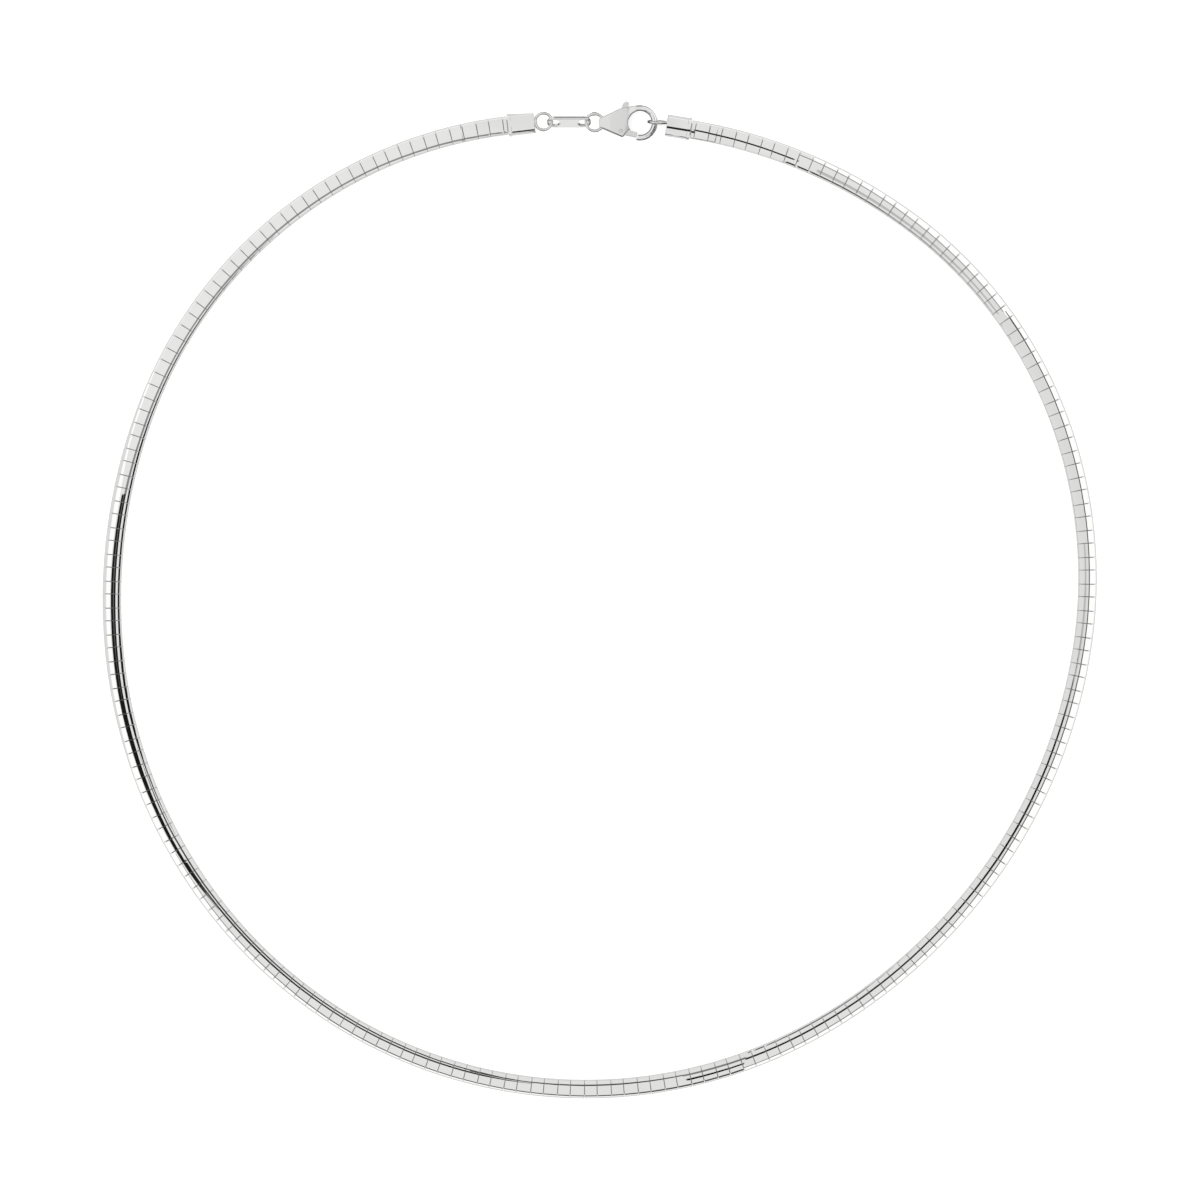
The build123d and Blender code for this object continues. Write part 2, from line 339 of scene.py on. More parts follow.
# The roof's stops have a bearing, how far in its edge shows, in mm, and the roof's tone there.
roof_stops = (
    (0, 1.12, 0.75), (15, 1.19, 0.76), (30, 1.22, 0.76), (45, 0.88, 0.78), (60, 0.69, 0.8),
    (72, 0.57, 0.8), (72.5, 0.39, 0.79), (90, 0.40, 0.79), (105, 0.45, 0.81), (120, 0.49, 0.81),
    (135, 0.76, 0.8), (150, 0.90, 0.8), (165, 1.01, 0.8), (190, 1.16, 0.81), (200, 0.63, 0.83),
    (208, 0.28, 0.84), (254, 0.28, 0.83), (260, 0.28, 0.77), (272, 0.28, 0.74), (282, 0.28, 0.8),
    (294.5, 0.28, 0.81), (295, 0.73, 0.81), (315, 1.07, 0.78), (325, 1.13, 0.76), (325.5, 0.85, 0.745),
    (345, 1.04, 0.745), (360, 1.12, 0.75),
)
roof_middle_tone = 0.78
roof_corners = [(middle.x, middle.y, card_height)]
roof_tones = [roof_middle_tone]
roof_faces = []
roof_steps = 288
for step in range(roof_steps):
    bearing = 360 * step / roof_steps
    edge, tone = between(roof_stops, bearing)
    toward = Vector((cos(radians(bearing)), -sin(radians(bearing))))
    band_reach = (band_places[nearest_place(bearing)[0]][0] - middle).length
    for reach in (band_reach, band_reach + shown_at(edge * mm)):
        spot = middle + toward * reach
        roof_corners.append((spot.x, spot.y, card_height))
        roof_tones.append(tone)
    here, following = 2 * step + 1, 2 * ((step + 1) % roof_steps) + 1
    roof_faces += [(0, here, following), (here, here + 1, following + 1, following)]
card("roof_card", 1.0, roof_faces, roof_corners, roof_tones)

flag("right_rim", 0.08, (
    (-34.7, 0.76, 0.88), (-33.6, 0.76, 0.96), (-28, 0.87, 1.01), (-15, 0.98, 1.13), (0, 1.06, 1.21),
    (15, 1.12, 1.28), (30, 1.16, 1.31), (45, 0.82, 0.93), (60, 0.64, 0.75), (72.3, 0.52, 0.61),
))
flag("right_rim_dark", 0.01, ((-33.6, 0.78, 0.96), (-28, 0.88, 1.00), (-20, 0.97, 1.00)), 2)
flag("front_rim", 0.06, (
    (72.3, 0.27, 0.49), (80, 0.28, 0.49), (90, 0.33, 0.48), (105, 0.39, 0.52), (120, 0.43, 0.57),
    (135, 0.72, 0.82), (148, 0.88, 0.93),
))
flag("upper_right_rim", 0.20, ((294.8, 0.67, 0.79), (315, 1.01, 1.13), (325.3, 1.07, 1.19)))
flag("right_crown", 0.01, (
    (4, 1.76, 1.79), (12, 1.73, 1.91), (15, 1.70, 1.96), (30, 1.58, 1.88), (45, 1.66, 1.90),
    (60, 1.60, 1.85), (72.3, 1.58, 1.84),
))
flag("right_crown_soft", 0.50, ((-6, 1.58, 1.79), (4, 1.58, 1.88), (14, 1.66, 1.82)))
flag("front_block", 0.01, ((72.3, 1.06, 1.28), (79.8, 1.03, 1.31)))
flag("front_block_line", 0.20, ((72.3, 1.73, 2.00), (80, 1.75, 2.00)))
flag("front_crown_grey", 0.05, ((80, 1.88, 2.03), (90, 1.87, 2.07), (105, 1.88, 1.97)))
flag("front_crown", 0.02, (
    (97, 1.73, 1.78), (105, 1.61, 1.84), (120, 1.66, 1.87), (135, 1.61, 1.88), (147, 1.52, 1.72),
))
flag("front_double", 0.03, (
    (98, 1.97, 2.00), (105, 1.98, 2.13), (120, 2.04, 2.22), (135, 2.03, 2.22), (147, 1.88, 2.09),
    (152, 1.82, 2.01), (162, 1.97, 2.00),
))
flag("left_block", 0.01, (
    (140, 1.46, 1.51), (147, 1.12, 1.55), (150, 1.06, 1.54), (165, 1.09, 1.76), (180, 1.25, 1.94),
    (192.4, 1.36, 1.96),
))
flag("left_block_streak", 0.14, ((168, 1.52, 1.55), (180, 1.58, 1.69), (192.4, 1.64, 1.73)), 2)
flag("left_inner", 0.01, (
    (150, 2.21, 2.24), (158, 2.12, 2.27), (165, 2.06, 2.39), (180, 2.25, 2.57), (190, 2.24, 2.48),
    (197, 2.21, 2.45), (207, 2.30, 2.45),
))
flag("left_edge_grey", 0.74, (
    (156, 0.09, 0.13), (165, 0.09, 0.42), (180, 0.09, 0.54), (195, 0.09, 0.54), (204, 0.09, 0.33),
))
flag("left_grey", 0.25, ((192.4, 1.67, 2.00), (200, 1.82, 2.07), (208, 1.90, 2.09)))
flag("upper_left_line", 0.26, (
    (200, 1.91, 2.09), (210, 1.93, 2.13), (225, 2.00, 2.25), (240, 2.00, 2.22), (250, 2.10, 2.33),
    (258, 2.21, 2.43),
))
flag("upper_left_inner", 0.10, ((205, 2.28, 2.49), (216, 2.33, 2.54), (228, 2.36, 2.40)))
flag("cap_right_line", 0.01, ((281.6, 1.31, 1.54), (285, 1.40, 1.63), (295, 1.57, 1.78)))
flag("upper_right_inner", 0.01, (
    (294.8, 2.30, 2.57), (302, 2.33, 2.57), (312, 2.39, 2.54), (325.3, 2.43, 2.49),
))
flag("upper_right_soft", 0.50, ((297, 1.67, 2.06), (315, 1.78, 2.07), (325.3, 1.82, 2.03)))
flag("right_inner", 0.01, ((48, 2.48, 2.52), (60, 2.36, 2.55), (72.3, 2.37, 2.60)))


def flat_card(name, radiance, low, high, height):
    """A level rectangular card."""
    corners = [(low[0], low[1]), (high[0], low[1]), (high[0], high[1]), (low[0], high[1])]
    card(name, radiance, [(0, 1, 2, 3)], [(x * mm, y * mm, height) for x, y in corners])


def upright_card(name, radiance, line, low=1.2 * mm, high=9.0 * mm):
    """A card that stands on edge along a line."""
    corners = [(point[0], point[1], z) for point in line for z in (low, high)]
    card(name, radiance, [(2 * n, 2 * n + 2, 2 * n + 3, 2 * n + 1) for n in range(len(line) - 1)], corners)


def over_band(number, outward):
    """A point beside the band's place of this number, so far out from it."""
    point, heading = band_places[number]
    return point + outward * mm * Vector((sin(heading), -cos(heading)))


flat_card("table_card", table_card_grey, (-500, -500), (500, 500), table_card_height)
flat_card("clasp_table_card", 0.10, (-9.8, 60), (9.3, 82), table_card_height + card_layer)
flat_card("hook_table_card", 0.30, (9.3, 58), (15, 68), table_card_height + card_layer)
flat_card("link_table_card", 0.80, (-7.6, 62), (-1.9, 71.5), table_card_height + 2 * card_layer)
flat_card("link_back_table_card", 0.35, (-7.4, 71.5), (-2.6, 82), table_card_height + 2 * card_layer)
upright_card("clasp_right_card", 0.01, (over_band(-5, 4), over_band(-5, -10)), high=12 * mm)
upright_card("clasp_lower_right_card", 0.01, (over_band(-5, -10), (9.0 * mm, 55.5 * mm)), high=8 * mm)
upright_card("clasp_left_card", 0.15, (over_band(7, 8), over_band(7, -10)), high=6 * mm)
upright_card("clasp_front_card", 0.18, ((-8.0 * mm, 58.0 * mm), (8.0 * mm, 58.0 * mm)))
upright_card("clasp_front_wing_card", 0.18, ((-16.0 * mm, 57.0 * mm), (-8.0 * mm, 58.0 * mm)), high=6 * mm)
upright_card("clasp_back_card", 0.30, ((-9.0 * mm, 85.0 * mm), (8.0 * mm, 85.0 * mm)))


# Plates: narrow strips of polished silver, pressed to a dome and folded round the woven strip, long
# and short ones in turn and a narrow one at each end. They follow each other with a hair's gap.
lip_thickness = 0.30 * mm
lip_opening = 1.35 * mm
cavity_width = 2.03 * mm
cavity_top = 0.86 * mm
plate_lengths = (0.45 * mm, 1.98 * mm, 1.73 * mm)
plate_count = 217
first_right_plate = 108
edge_strip = 0.06
plate_pitch_gap = 0.1368 * mm
plate_growth = 0.09 * mm
plate_chamfer = 0.045 * mm
plate_looseness = radians(0.35)
plate_seed = 7
plate_dome_steps = 4
plate_corner_steps = 2
plate_crease = radians(31)


def domed_outline(width, back, crown, rounding, dome_steps, corner_steps):
    """Half of a domed section as (x, z) points, from the middle of the back up the +X side to the crown."""
    half = width / 2
    points = []
    for step in range(corner_steps + 1):
        angle = -pi / 2 + pi / 2 * step / corner_steps
        points.append((half - rounding + rounding * cos(angle), back + rounding + rounding * sin(angle)))
    dome_centre = crown - dome_radius
    shoulder = dome_centre + sqrt((dome_radius - rounding) ** 2 - (half - rounding) ** 2)
    meets_dome = atan2(shoulder - dome_centre, half - rounding)
    for step in range(corner_steps + 1):
        angle = meets_dome * step / corner_steps
        points.append((half - rounding + rounding * cos(angle), shoulder + rounding * sin(angle)))
    for step in range(dome_steps + 1):
        angle = meets_dome + (pi / 2 - meets_dome) * (step / dome_steps if step else edge_strip)
        points.append((dome_radius * cos(angle), dome_centre + dome_radius * sin(angle)))
    return points


def mirrored(half):
    """A closed outline from its +X half, whose last point is on the middle."""
    return half + [(-x, z) for x, z in reversed(half[:-1])]


def plate_blank(name, length):
    """One plate at the origin, its length along Y, with a small chamfer round the outside of each end."""
    bm = bmesh.new()
    uv = bm.loops.layers.uv.new("UVMap")
    rings = []
    for y, inset in (
        (-length / 2, plate_chamfer), (plate_chamfer - length / 2, 0),
        (length / 2 - plate_chamfer, 0), (length / 2, plate_chamfer),
    ):
        half = domed_outline(
            plate_width - 2 * inset, inset, plate_crown - inset, plate_rounding - inset,
            plate_dome_steps, plate_corner_steps,
        )
        lip = lip_opening / 2 + inset
        outline = mirrored([(lip, lip_thickness), (lip, inset)] + half)
        rings.append([bm.verts.new((x, y, z)) for x, z in outline])
    cavity = [(-cavity_width / 2, lip_thickness), (-cavity_width / 2, cavity_top),
              (cavity_width / 2, cavity_top), (cavity_width / 2, lip_thickness)]
    first_cavity, last_cavity = (
        [bm.verts.new((x, y, z)) for x, z in cavity] for y in (-length / 2, length / 2)
    )
    for ring, following in zip(rings, rings[1:]):
        for a, b, c, d in zip(ring, ring[1:], following[1:], following):
            bm.faces.new((a, d, c, b))
    inside = [rings[0][-1]] + first_cavity + [rings[0][0]]
    inside_far = [rings[-1][-1]] + last_cavity + [rings[-1][0]]
    for a, b, c, d in zip(inside, inside[1:], inside_far[1:], inside_far):
        bm.faces.new((a, d, c, b))
    bm.faces.new(rings[0] + first_cavity)
    bm.faces.new(list(reversed(rings[-1] + last_cavity)))
    bmesh.ops.recalc_face_normals(bm, faces=bm.faces)
    for edge in bm.edges:
        if len(edge.link_faces) == 2:
            edge.smooth = edge.calc_face_angle() < plate_crease
    for face in bm.faces:
        face.smooth = True
        for loop in face.loops:
            loop[uv].uv = (loop.vert.co.x / plate_width + 0.5, loop.vert.co.y / length + 0.5)
    mesh = bpy.data.meshes.new(name)
    bm.to_mesh(mesh)
    bm.free()
    return bpy.data.objects.new(name, mesh)


def new_tree(name, sizes):
    """A Geometry Nodes tree with a geometry in and out and a named input for each size."""
    tree = bpy.data.node_groups.new(name, "GeometryNodeTree")
    tree.interface.new_socket("Geometry", in_out="INPUT", socket_type="NodeSocketGeometry")
    for size, kind in sizes.items():
        tree.interface.new_socket(size, in_out="INPUT", socket_type="NodeSocket" + kind)
    tree.interface.new_socket("Geometry", in_out="OUTPUT", socket_type="NodeSocketGeometry")
    given = tree.nodes.new("NodeGroupInput")
    return tree, {socket.name: Link(tree, socket) for socket in given.outputs if socket.name}


def grown(name, base, tree, values, body, slot_name, *nodes):
    """Runs a tree on base with its inputs set, and gives the result as a plain mesh that rides on body."""
    bpy.context.scene.collection.objects.link(base)
    modifier = base.modifiers.new(name, "NODES")
    modifier.node_group = tree
    for socket in tree.interface.items_tree:
        if socket.in_out == "INPUT" and socket.name in values:
            modifier[socket.identifier] = values[socket.name]
    bpy.context.view_layer.update()
    evaluated = base.evaluated_get(bpy.context.evaluated_depsgraph_get())
    mesh = bpy.data.meshes.new_from_object(evaluated)
    mesh.name = name
    piece = bpy.data.objects.new(name, mesh)
    bpy.context.scene.collection.objects.link(piece)
    bpy.data.objects.remove(base)
    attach(piece, body)
    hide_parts(*nodes)
    return piece


def along_the_band(given, distance, count, turn):
    """Points along the band at these distances, and the rotation there, turned by an Euler vector."""
    at = given["Geometry"].node(
        "GeometryNodeSampleCurve",
        {"mode": "LENGTH", "use_all_curves": True},
        {"Curves": given["Geometry"], "Length": distance},
        out="Position",
    )
    tangent = Link(at.tree, at.socket.node.outputs["Tangent"])
    row = at.node("GeometryNodeMeshLine", inputs={"Count": count, "Offset": (0, 0, 0)})
    points = row.node("GeometryNodeSetPosition", inputs={"Geometry": row, "Position": at})
    facing = points.node(
        "FunctionNodeAxesToRotation",
        {"primary_axis": "Z", "secondary_axis": "Y"},
        {"Primary Axis": (0, 0, 1), "Secondary Axis": tangent},
    )
    turned = facing.node(
        "FunctionNodeRotateRotation",
        {"rotation_space": "LOCAL"},
        {"Rotation": facing, "Rotate By": turn.node("FunctionNodeEulerToRotation", inputs={"Euler": turn})},
    )
    return points, turned


haze_scale = 160.0
mark_scale = 1400.0
polishing_scale = 1000.0
haze_tone = 0.03
haze_roughness = 0.02
mark_roughness = 0.01
mark_relief = 0.5
relief_strength = 0.25
silver_green = 0.997
silver_blue = 0.99
# Where the plates meet, their end faces are painted darker: grime and painted shade in the joints.
grime_and_shade_begins = 0.475
grime_and_shade_full = 0.495
grime_roughness = 0.5
plate_tone_depth = 0.02
even = (1.0, 1.0, 1.0)


def polished_silver(name, shine, line_depth, line_scale=even, joint_grime_and_shade=0.0, satin_up_to=None, shade=0.955):
    """Polished silver: fine polishing lines, faint hand marks, grime and painted shade at the plates' ends,
    and a satin part darkened with painted shade.
    """
    material = bpy.data.materials.new(name)
    material.use_nodes = True
    material.node_tree.nodes.clear()
    start = Link(material.node_tree)
    place = start.node("ShaderNodeTexCoord", out="Object")
    haze = place.node("ShaderNodeTexNoise", inputs={"Vector": place, "Scale": haze_scale, "Detail": 3.0})
    marks = place.node("ShaderNodeTexNoise", inputs={"Vector": place, "Scale": mark_scale, "Detail": 2.0})
    stretched = place.node("ShaderNodeMapping", inputs={"Vector": place, "Scale": line_scale})
    lines = stretched.node(
        "ShaderNodeTexNoise", inputs={"Vector": stretched, "Scale": polishing_scale, "Detail": 2.0}
    )
    shade = shade + (haze - 0.5) * haze_tone
    roughness = shine + haze * haze_roughness + marks * mark_roughness
    if satin_up_to:
        sideways = place.node("ShaderNodeSeparateXYZ", inputs={0: place})
        satin = sideways.node(
            "ShaderNodeMapRange",
            inputs={
                "Value": sideways, "From Min": satin_up_to + satin_fade, "From Max": satin_up_to,
                "To Max": 1.0,
            },
        )
        # Painted shade: the satin part's colour is made darker, besides rougher.
        shade = shade - satin * satin_painted_shade
        roughness = roughness + satin * satin_roughness
    # Grime and painted shade: the plates' end faces are painted darker where they meet.
    if joint_grime_and_shade:
        across = place.node("ShaderNodeUVMap")
        along = across.node("ShaderNodeSeparateXYZ", inputs={0: across}, out="Y")
        near_end = along.maths("ABSOLUTE", along - 0.5)
        grime_and_shade = near_end.node(
            "ShaderNodeMapRange",
            inputs={
                "Value": near_end, "From Min": grime_and_shade_begins, "From Max": grime_and_shade_full, "To Max": joint_grime_and_shade,
            },
        )
        tone = grime_and_shade.node("ShaderNodeAttribute", {"attribute_name": "plate_tone"}, out="Fac")
        shade = shade - grime_and_shade - tone * plate_tone_depth
        roughness = roughness + grime_and_shade * grime_roughness
    colour = shade.node(
        "ShaderNodeCombineColor",
        inputs={"Red": shade, "Green": shade * silver_green, "Blue": shade * silver_blue},
    )
    relief = lines.node(
        "ShaderNodeBump",
        inputs={"Strength": relief_strength, "Distance": line_depth, "Height": lines + marks * mark_relief},
    )
    silver = relief.node(
        "ShaderNodeBsdfPrincipled",
        inputs={"Base Color": colour, "Metallic": 1.0, "Roughness": roughness, "Normal": relief},
    )
    silver.node("ShaderNodeOutputMaterial", inputs={"Surface": silver})
    return material


plate_silver = polished_silver("plate_silver", 0.01, 0.0004 * mm, joint_grime_and_shade=0.8)

plates_tree, given = new_tree(
    "plates_on_the_band",
    {
        "Narrow plate": "Object", "Long plate": "Object", "Short plate": "Object",
        "Narrow length": "Float", "Long length": "Float", "Short length": "Float", "Gap": "Float",
        "First plate": "Int", "Plates here": "Int", "Plates in all": "Int",
        "Lean": "Float", "Looseness": "Float", "Seed": "Int", "Silver": "Material",
    },
)
index = given["First plate"] + given["First plate"].node("GeometryNodeInputIndex")
is_first = index < 0.5
is_last = index > given["Plates in all"] - 1.5
is_end = is_first + is_last
alternate = (index - 1).maths("MAXIMUM", index - 1, 0)
pairs = alternate.maths("FLOOR", alternate / 2)
is_short = alternate - pairs * 2
own_length = is_end * given["Narrow length"] + (1 - is_end) * (
    given["Long length"] + is_short * (given["Short length"] - given["Long length"])
)
lengths_before = (1 - is_first) * (
    given["Narrow length"] + pairs * (given["Long length"] + given["Short length"])
    + is_short * given["Long length"]
)
distance = (index + 1) * given["Gap"] + lengths_before + own_length / 2
seat = index.node(
    "FunctionNodeRandomValue",
    {"data_type": "FLOAT_VECTOR"},
    {"Min": (-1, -1, -1), "Max": (1, 1, 1), "ID": index, "Seed": given["Seed"]},
)
play = seat.node("ShaderNodeVectorMath", {"operation": "SCALE"}, {0: seat, "Scale": given["Looseness"]})
leant = play.node("ShaderNodeCombineXYZ", inputs={"Y": given["Lean"]})
turn = play.node("ShaderNodeVectorMath", {"operation": "ADD"}, {0: play, 1: leant})
points, turned = along_the_band(given, distance, given["Plates here"], turn)
kinds = points.node("GeometryNodeGeometryToInstance")
for kind in ("Short plate", "Long plate", "Narrow plate"):
    blank = points.node("GeometryNodeObjectInfo", inputs={"Object": given[kind]}, out="Geometry")
    plates_tree.links.new(blank.socket, kinds.socket.node.inputs[0])
plates = kinds.node(
    "GeometryNodeInstanceOnPoints",
    inputs={
        "Points": points, "Instance": kinds, "Pick Instance": True,
        "Instance Index": (1 - is_end) * (1 + is_short), "Rotation": turned,
    },
)
tone = plates.node(
    "FunctionNodeRandomValue",
    {"data_type": "FLOAT"},
    {2: 0.0, 3: 1.0, "ID": index, "Seed": given["Seed"] + 1},
    out=1,
)
toned = plates.node(
    "GeometryNodeStoreNamedAttribute",
    {"data_type": "FLOAT", "domain": "INSTANCE"},
    {"Geometry": plates, "Name": "plate_tone", "Value": tone},
)
realised = toned.node("GeometryNodeRealizeInstances", inputs={"Geometry": toned})
finished = realised.node(
    "GeometryNodeSetMaterial", inputs={"Geometry": realised, "Material": given["Silver"]}
)
finished.node("NodeGroupOutput", inputs={"Geometry": finished})

blanks = [
    plate_blank(name, length + plate_growth)
    for name, length in zip(("narrow", "long", "short"), plate_lengths)
]
sides = (("left", 0, first_right_plate), ("right", first_right_plate, plate_count - first_right_plate))
for side, first, count in sides:
    grown(
        f"domed_plates_{side}",
        band_curve(),
        plates_tree,
        {
            "Narrow plate": blanks[0], "Long plate": blanks[1], "Short plate": blanks[2],
            "Narrow length": plate_lengths[0], "Long length": plate_lengths[1],
            "Short length": plate_lengths[2], "Gap": plate_pitch_gap,
            "First plate": first, "Plates here": count, "Plates in all": plate_count,
            "Lean": collar_lean, "Looseness": plate_looseness, "Seed": plate_seed, "Silver": plate_silver,
        },
        "necklace",
        "polished_plates",
        f"plates_{side}",
    )


# Woven strip: fine silver wire, knitted to a flat braid that runs through all the plates. It shows
# at the back, between the plates' lips, as a herringbone of slanting stitches.
strip_width = 1.75 * mm
strip_back = 0.42 * mm
strip_in_cap = 2.2 * mm
stitch_pitch = 0.42 * mm
stitch_length = 0.98 * mm
stitch_width = 0.34 * mm
stitch_depth = 0.2 * mm
stitch_slant = radians(38.0)
stitch_column = 0.4 * mm
braid_core = 0.2 * mm


def stitch_blank():
    """One stitch at the origin: a slim closed bead of wire, its length along Y."""
    bm = bmesh.new()
    bmesh.ops.create_uvsphere(bm, u_segments=7, v_segments=5, radius=0.5)
    bmesh.ops.rotate(bm, verts=bm.verts, cent=(0, 0, 0), matrix=Matrix.Rotation(pi / 2, 3, "X"))
    bmesh.ops.scale(bm, verts=bm.verts, vec=(stitch_width, stitch_length, stitch_depth))
    for face in bm.faces:
        face.smooth = True
    mesh = bpy.data.meshes.new("stitch")
    bm.to_mesh(mesh)
    bm.free()
    return bpy.data.objects.new("stitch", mesh)


# The woven strip is painted dark grey all over: painted shade for the gaps between the plates, where it
# shows.
woven_silver = polished_silver("woven_silver", 0.22, 0.002 * mm, shade=0.62)

strip_tree, given = new_tree(
    "woven_strip",
    {
        "Stitch": "Object", "Stitches": "Int", "Pitch": "Float", "Slant": "Float", "Column": "Float",
        "Back": "Float", "Lean": "Float", "Silver": "Material",
    },
)
both_columns = given["Stitches"] * 2
index = both_columns.node("GeometryNodeInputIndex")
row = index.maths("FLOOR", index / 2)
side = (index - row * 2) * 2 - 1
turn = side.node("ShaderNodeCombineXYZ", inputs={"Y": given["Lean"]})
points, turned = along_the_band(given, (row + 0.5) * given["Pitch"], both_columns, turn)
offset = side.node("ShaderNodeCombineXYZ", inputs={"X": side * given["Column"], "Z": given["Back"]})
moved = offset.node("FunctionNodeRotateVector", inputs={"Vector": offset, "Rotation": turned})
shifted = points.node("GeometryNodeSetPosition", inputs={"Geometry": points, "Offset": moved})
slanting = turned.node(
    "FunctionNodeRotateRotation",
    {"rotation_space": "LOCAL"},
    {
        "Rotation": turned,
        "Rotate By": turned.node(
            "FunctionNodeEulerToRotation",
            inputs={"Euler": turned.node("ShaderNodeCombineXYZ", inputs={"Z": side * given["Slant"]})},
        ),
    },
)
blank = points.node("GeometryNodeObjectInfo", inputs={"Object": given["Stitch"]}, out="Geometry")
stitches = blank.node(
    "GeometryNodeInstanceOnPoints", inputs={"Points": shifted, "Instance": blank, "Rotation": slanting}
)
realised = stitches.node("GeometryNodeRealizeInstances", inputs={"Geometry": stitches})
finished = realised.node(
    "GeometryNodeSetMaterial", inputs={"Geometry": realised, "Material": given["Silver"]}
)
finished.node("NodeGroupOutput", inputs={"Geometry": finished})

grown(
    "woven_stitches",
    band_curve(),
    strip_tree,
    {
        "Stitch": stitch_blank(), "Stitches": round(band_length / stitch_pitch), "Pitch": stitch_pitch,
        "Slant": stitch_slant, "Column": stitch_column, "Back": strip_back + stitch_depth / 2,
        "Lean": collar_lean, "Silver": woven_silver,
    },
    "necklace",
    "woven_strip",
    "mesh_core",
)


def strip_mesh():
    """The braid's flat core, as one ribbon through all the plates and on into both caps."""
    bm = bmesh.new()
    places = list(band_places)
    for end, way in ((0, -1), (-1, 1)):
        point, heading = places[end]
        beyond = (point + way * strip_in_cap * Vector((cos(heading), sin(heading))), heading)
        places.insert(0 if end == 0 else len(places), beyond)
    half, low = strip_width / 2, strip_back + stitch_depth / 2
    rings = []
    for point, heading in places:
        place = across_band(point, heading)
        section = ((-half, low), (half, low), (half, low + braid_core), (-half, low + braid_core))
        rings.append([bm.verts.new(place @ Vector((x, 0, z))) for x, z in section])
    for ring, following in zip(rings, rings[1:]):
        for side in range(4):
            bm.faces.new((ring[side], ring[side - 1], following[side - 1], following[side]))
    bm.faces.new(rings[0])
    bm.faces.new(list(reversed(rings[-1])))
    bmesh.ops.recalc_face_normals(bm, faces=bm.faces)
    mesh = bpy.data.meshes.new("woven_core")
    bm.to_mesh(mesh)
    bm.free()
    mesh.materials.append(woven_silver)
    return mesh


def dress(name, mesh, body, slot_name, *nodes):
    """Makes a finished mesh a piece of the necklace that rides on body and stands for these nodes."""
    piece = bpy.data.objects.new(name, mesh)
    bpy.context.scene.collection.objects.link(piece)
    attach(piece, body)
    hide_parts(*nodes)
    return piece


dress("woven_core", strip_mesh(), "necklace", "woven_strip", "mesh_core")


# End caps: closed silver caps crimped over the ends of the band, each with a raised collar at the
# mouth and a ring of round wire soldered to the far end. The left cap has one corner cut off.
cap_width = 3.1 * mm
cap_back = -0.2 * mm
cap_crown = 1.85 * mm
cap_rounding = 0.28 * mm
cap_edge = 0.09 * mm
grip_length = 0.5 * mm
grip_step = 0.08 * mm
left_cap_length = 4.0 * mm
right_cap_length = 3.65 * mm
corner_cut_along = 0.6 * mm
corner_cut_across = 0.36 * mm
pocket_width = 1.99 * mm
pocket_back = 0.30 * mm
pocket_top = 0.86 * mm
ring_wire = 0.42 * mm
end_ring_diameter = 2.92 * mm
right_ring_diameter = 3.12 * mm
right_ring_centre = (8.5 * mm, 71.32 * mm)
right_ring_turn = radians(-3.0)
right_ring_lean = radians(8.0)
right_ring_solder = radians(10)
clasp_mid_height = 1.25 * mm
solder_overlap = 0.1 * mm
solder_swell = 0.28
solder_spread = radians(16)
mouth_bevel = 0.04 * mm
grip_bevel = 0.03 * mm
grip_foot = 0.01 * mm
pocket_rounding = 0.05 * mm
cap_dome_steps = 10
cap_corner_steps = 5
cap_edge_steps = 5


def cap_shell(bm, place, toward, length, cut):
    """A cap in bm: outlines from the pocket's bottom out round the mouth to the far end, and skinned."""
    stations = [(strip_in_cap, None), (0.0, None), (0.0, grip_step - mouth_bevel), (mouth_bevel, grip_step)]
    stations += [(grip_length - grip_bevel, grip_step), (grip_length, grip_step - grip_bevel)]
    stations += [(grip_length + grip_foot, 0)]
    for step in range(cap_edge_steps + 1):
        angle = pi / 2 * step / cap_edge_steps
        stations.append((length - cap_edge + cap_edge * sin(angle), -cap_edge * (1 - cos(angle))))
    rings = []
    for distance, growth in stations:
        if growth is None:
            half = domed_outline(
                pocket_width, pocket_back, pocket_top, pocket_rounding, cap_dome_steps, cap_corner_steps
            )
        else:
            shrink = min(growth, 0)
            half = domed_outline(
                cap_width + 2 * growth, cap_back - shrink, cap_crown + growth, cap_rounding + shrink,
                cap_dome_steps, cap_corner_steps,
            )
        outline = mirrored([(0, half[0][1])] + half)[:-1]
        past_cut = (distance - (length - corner_cut_along)) / corner_cut_along
        narrowing = max(0, past_cut) * corner_cut_across if cut else 0
        limit = cap_width / 2 + max(growth or 0, 0) - narrowing + (min(growth or 0, 0) if narrowing else 0)
        spots = [place @ Vector((min(x, limit), toward * distance, z)) for x, z in outline]
        rings.append([bm.verts.new(spot) for spot in spots])
    for ring, following in zip(rings, rings[1:]):
        for side in range(len(ring)):
            bm.faces.new((ring[side - 1], ring[side], following[side], following[side - 1]))
    bm.faces.new(rings[0])
    bm.faces.new(rings[-1])


def round_wire(bm, place, diameter, solder_at, around=96, about=18):
    """A ring of round wire in bm, in the XY plane of place, thickened where it is soldered at an angle.
    Its faces take the second material."""
    bend = (diameter - ring_wire) / 2
    loops = []
    for step in range(around):
        angle = 2 * pi * step / around
        off = (angle - solder_at + pi) % (2 * pi) - pi
        wire = ring_wire / 2 * (1 + solder_swell * exp(-((off / solder_spread) ** 2)))
        loop = []
        for turn in range(about):
            wrap = 2 * pi * turn / about
            reach = bend + wire * cos(wrap)
            spot = Vector((reach * cos(angle), reach * sin(angle), wire * sin(wrap)))
            loop.append(bm.verts.new(place @ spot))
        loops.append(loop)
    for number, loop in enumerate(loops):
        following = loops[(number + 1) % around]
        for turn in range(about):
            wire_face = bm.faces.new((loop[turn - 1], following[turn - 1], following[turn], loop[turn]))
            wire_face.material_index = 1


